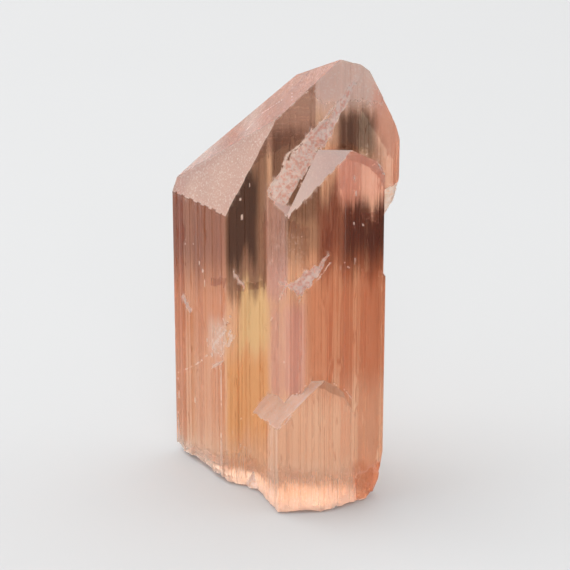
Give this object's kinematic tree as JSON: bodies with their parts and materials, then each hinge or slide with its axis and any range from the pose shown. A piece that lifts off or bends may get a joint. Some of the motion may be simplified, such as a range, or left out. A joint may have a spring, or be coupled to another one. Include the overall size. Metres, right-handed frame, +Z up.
{
  "type": "kunzite crystal",
  "caption": "Free-standing pink kunzite crystal: a flattened, vertically striated blade with an oblique tip, smaller crystals grown on its front, and a broken base.",
  "frame": {"origin": "on the surface that the crystal stands on, below the middle of its bounding box", "axes": "+Z up along the crystal's length; -Y is the front, where the smaller crystals are; +X to the right"},
  "size_m": [0.031, 0.0242, 0.0628],
  "materials": {
    "kunzite": "clear salmon pink crystal with fine vertical striations; frosted end faces and broken rim"
  },
  "bodies": {
    "root": {"kunzite_crystal": "kunzite"}
  },
  "joints": []
}
